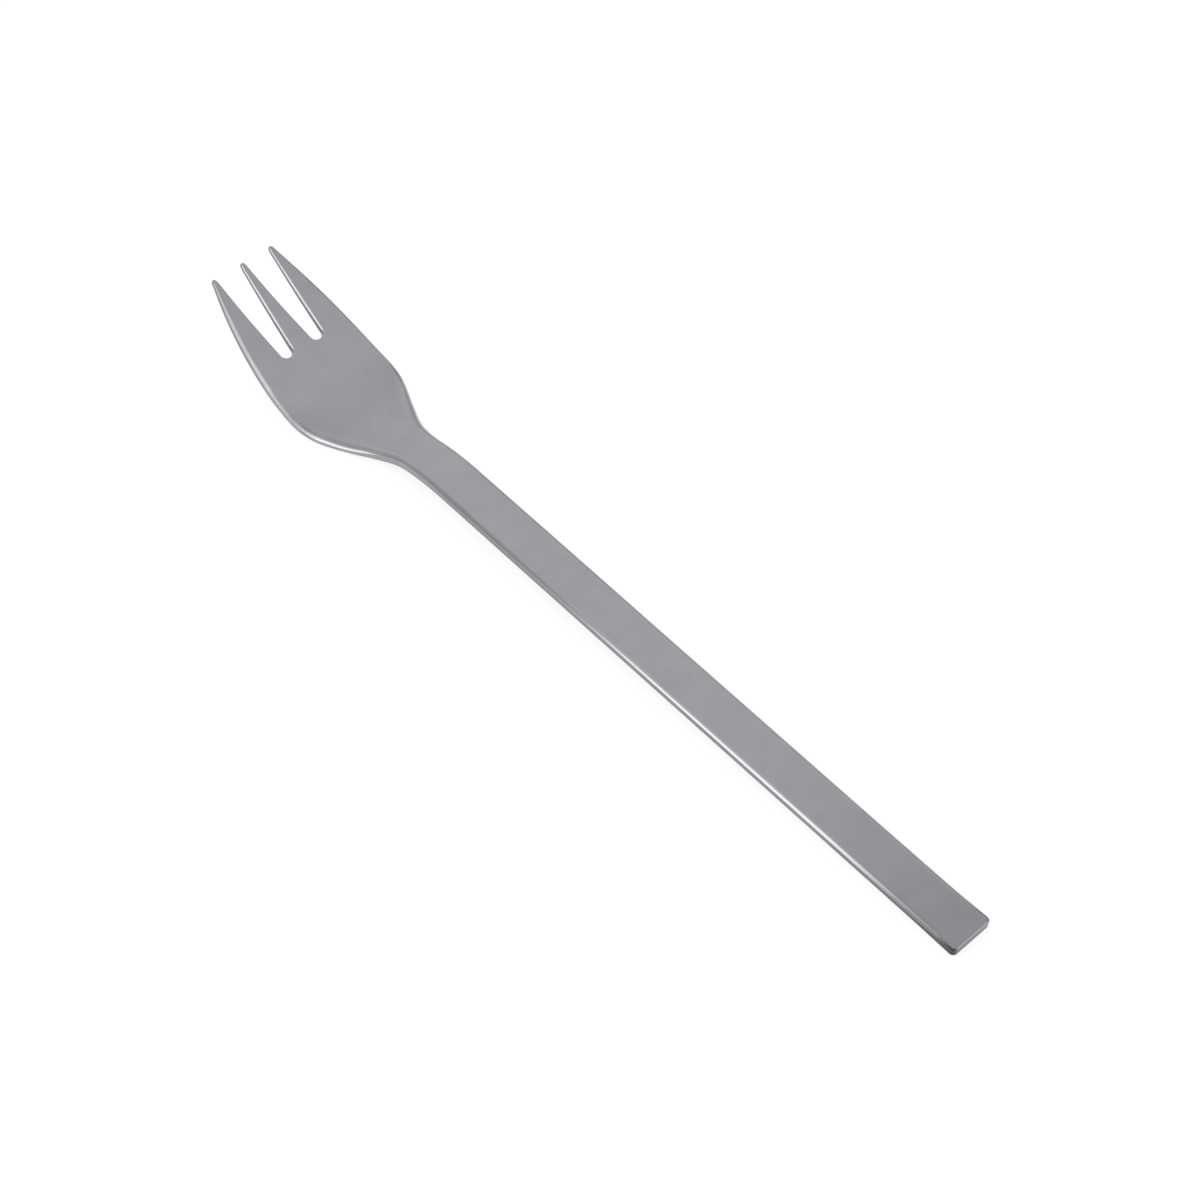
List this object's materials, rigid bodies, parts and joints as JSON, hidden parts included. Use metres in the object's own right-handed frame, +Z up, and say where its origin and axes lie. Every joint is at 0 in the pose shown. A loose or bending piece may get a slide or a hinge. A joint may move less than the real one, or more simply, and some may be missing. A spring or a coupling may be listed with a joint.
{
  "type": "oyster fork",
  "caption": "Slim one-piece steel fork with a long flat strip handle, a shallow bowl and short pointed tines, for lifting oysters out of the shell.",
  "frame": {"origin": "middle of the fork's box in plan, on the table that the bowl and the end of the handle touch", "axes": "+X along the fork towards the points of the tines, +Y across it, +Z up from the table"},
  "size_m": [0.1498, 0.0186, 0.0123],
  "materials": {
    "satin_steel": "satin"
  },
  "bodies": {
    "root": {"fork": "satin_steel"}
  },
  "joints": []
}
